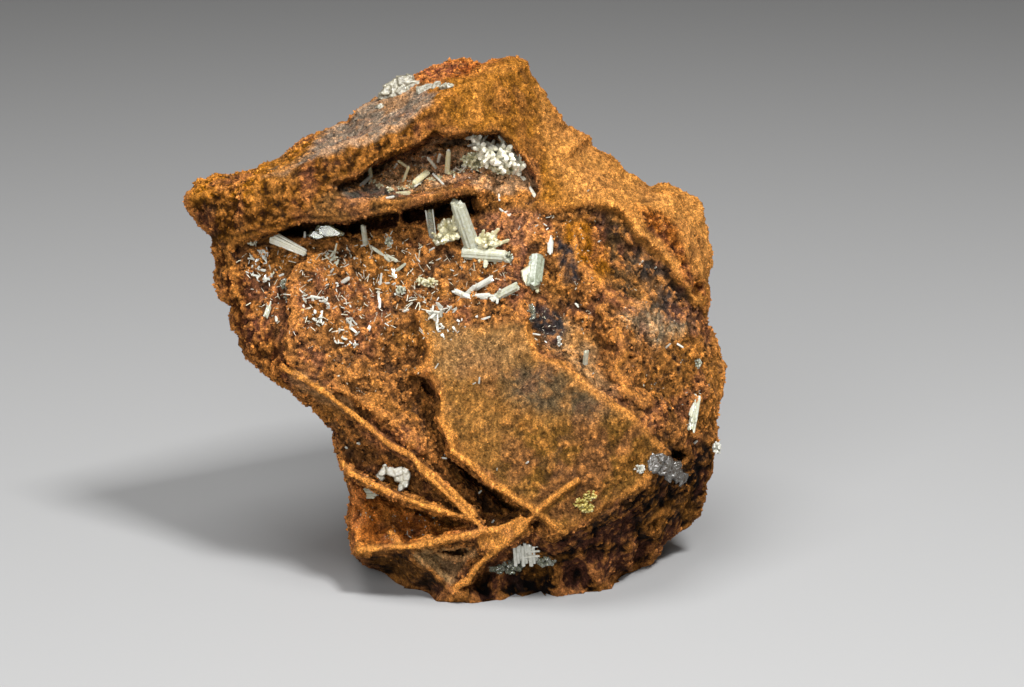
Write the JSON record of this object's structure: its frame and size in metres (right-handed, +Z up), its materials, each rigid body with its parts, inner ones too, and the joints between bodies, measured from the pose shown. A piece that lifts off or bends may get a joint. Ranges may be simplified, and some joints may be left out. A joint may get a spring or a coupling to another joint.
{
  "type": "mineral specimen",
  "caption": "Hand-sized lump of rusty boxwork limonite with pale prisms, sprays and crusts of clear crystals on its face, standing on a flat foot.",
  "frame": {"origin": "on the ground, under the middle of the specimen's box", "axes": "+Z up, away from the flat foot; -Y towards the viewer of the crystal face; +X to that viewer's right"},
  "size_m": [0.0682, 0.0461, 0.0647],
  "materials": {
    "limonite": "rough, earthy",
    "adamite": "glassy, fine lengthwise striations",
    "calcite": "greasy, cloudy"
  },
  "bodies": {
    "root": {"adamite_bent_prism": "adamite", "adamite_blocky_prism": "adamite", "adamite_centre_cluster": "adamite", "adamite_chip": "adamite", "adamite_cream_prism": "adamite", "adamite_crescent": "adamite", "adamite_crest_crust": "adamite", "adamite_east_prism": "adamite", "adamite_east_spray": "adamite", "adamite_edge_druse": "adamite", "adamite_falling_chain": "adamite", "adamite_fang_prism": "adamite", "adamite_foot_druse": "adamite", "adamite_fuzz_spray": "adamite", "adamite_grey_druse": "adamite", "adamite_gully_prism": "adamite", "adamite_hanging_prism": "adamite", "adamite_hollow_crust": "adamite", "adamite_left_prism": "adamite", "adamite_middle_knot": "adamite", "adamite_pale_druse": "adamite", "adamite_pale_knot": "adamite", "adamite_pale_prism": "adamite", "adamite_right_edge_prism": "adamite", "adamite_rim_druse": "adamite", "adamite_rods": "adamite", "adamite_sill_prism": "adamite", "adamite_slope_prism": "adamite", "adamite_slot_wedge": "adamite", "adamite_south_prism": "adamite", "adamite_south_spray": "adamite", "adamite_top_crust": "adamite", "adamite_twin_prisms": "adamite", "adamite_upper_knob": "adamite", "adamite_west_chain": "adamite", "adamite_west_rods": "adamite", "adamite_west_spray": "adamite", "adamite_white_chain": "adamite", "adamite_yellow_druse": "adamite", "calcite_corner": "calcite", "matrix": "limonite"}
  },
  "joints": []
}
